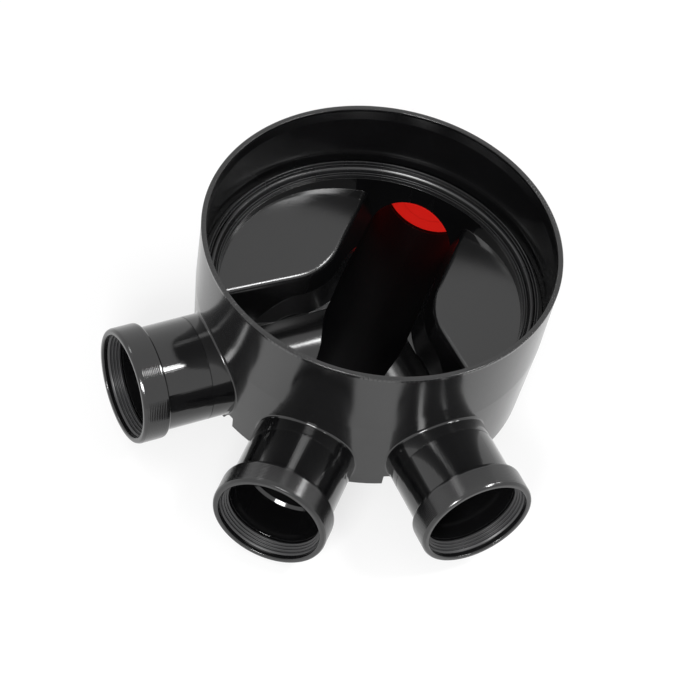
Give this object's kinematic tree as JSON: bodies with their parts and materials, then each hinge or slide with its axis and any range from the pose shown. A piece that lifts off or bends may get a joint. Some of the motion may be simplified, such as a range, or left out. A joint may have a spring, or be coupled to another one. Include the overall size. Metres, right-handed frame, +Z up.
{
  "type": "drain inspection chamber base",
  "caption": "Round black plastic drain inspection chamber base with benching, a main channel, two side branches, ring-sealed pipe sockets and a plugged rear socket.",
  "frame": {"origin": "on the ground, on the chamber's vertical axis", "axes": "+Z up along the chamber's axis; -Y along the main channel towards the front socket, +X to the right seen from the front"},
  "size_m": [0.533, 0.6241, 0.245],
  "materials": {
    "body_plastic": "moulded, semi-gloss",
    "socket_plastic": "moulded, gloss",
    "cap_plastic": "moulded, gloss, with fine turning lines",
    "seal_rubber": "matt black rubber",
    "riser_rubber": "matt black rubber",
    "red_plastic": "moulded, satin red"
  },
  "bodies": {
    "root": {"chamber_body": "body_plastic", "riser_seal": "riser_rubber", "blanking_plug": "red_plastic", "front_socket": "socket_plastic", "left_socket": "socket_plastic", "right_socket": "socket_plastic", "rear_socket": "socket_plastic", "front_seal": "seal_rubber", "left_seal": "seal_rubber", "right_seal": "seal_rubber", "rear_seal": "seal_rubber", "front_cap": "cap_plastic", "left_cap": "cap_plastic", "right_cap": "cap_plastic", "rear_cap": "cap_plastic"}
  },
  "joints": []
}
